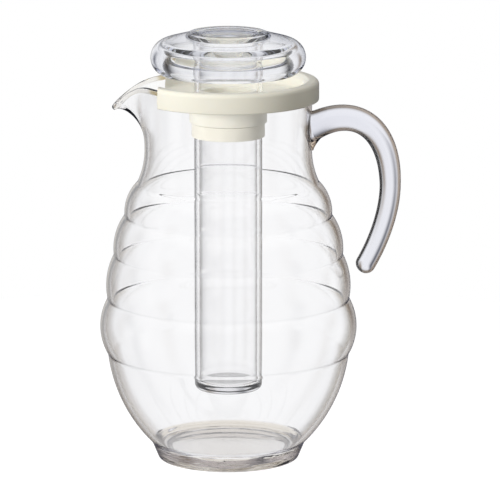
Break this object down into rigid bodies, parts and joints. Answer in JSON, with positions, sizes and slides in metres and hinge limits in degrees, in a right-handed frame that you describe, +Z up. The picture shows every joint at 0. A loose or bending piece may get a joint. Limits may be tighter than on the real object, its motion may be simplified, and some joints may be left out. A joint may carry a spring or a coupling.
{
  "type": "pitcher with ice core",
  "caption": "Clear ringed pitcher with a drawn spout and open handle, a lift-off lid with a clear knob, and a clear ice tube that hangs from the lid on a screw collar.",
  "frame": {"origin": "centre of the foot, on the surface that the pitcher stands on", "axes": "+Z up along the axis of the jug, -X towards the spout, +X towards the handle"},
  "size_m": [0.1928, 0.1648, 0.2774],
  "materials": {
    "clear_body": "clear, polished moulded plastic with a faint cool tint",
    "clear_handle": "clear, polished solid plastic",
    "cream_lid": "warm cream moulded plastic, soft sheen",
    "clear_knob": "clear, polished thick plastic",
    "cream_collar": "warm cream moulded plastic, soft sheen",
    "silicone": "translucent white silicone",
    "clear_tube": "clear, polished moulded plastic"
  },
  "bodies": {
    "jug": {"jug_base": "clear_body", "bowl_low": "clear_body", "bowl_high": "clear_body", "ring_1": "clear_body", "ring_2": "clear_body", "ring_3": "clear_body", "ring_4": "clear_body", "throat": "clear_body", "neck": "clear_body", "handle": "clear_handle"},
    "lid_unit": {"lid_rim": "cream_lid", "lid_floor": "cream_lid", "lid_socket": "cream_lid", "knob_post": "clear_knob", "knob_dome": "clear_knob", "knob_edge": "clear_knob"},
    "seal": {"tube_seal": "silicone"},
    "ice_core": {"tube_collar": "cream_collar", "ice_tube": "clear_tube"}
  },
  "joints": [
    {"name": "lid_lift", "type": "slide", "parent": "jug", "child": "lid_unit", "axis": [0, 0, 1], "range_m": [0, 0.22]},
    {"name": "tube_drop", "type": "slide", "parent": "lid_unit", "child": "seal", "axis": [0, 0, -1], "range_m": [0, 0.014]},
    {"name": "tube_turn", "type": "hinge", "parent": "seal", "child": "ice_core", "pos_m": [0, 0, 0.1], "axis": [0, 0, -1], "range_deg": [0, 420]}
  ],
  "couplings": [
    {"joint": "tube_drop", "follows": "tube_turn", "m_per_rad": 0.0019098}
  ]
}
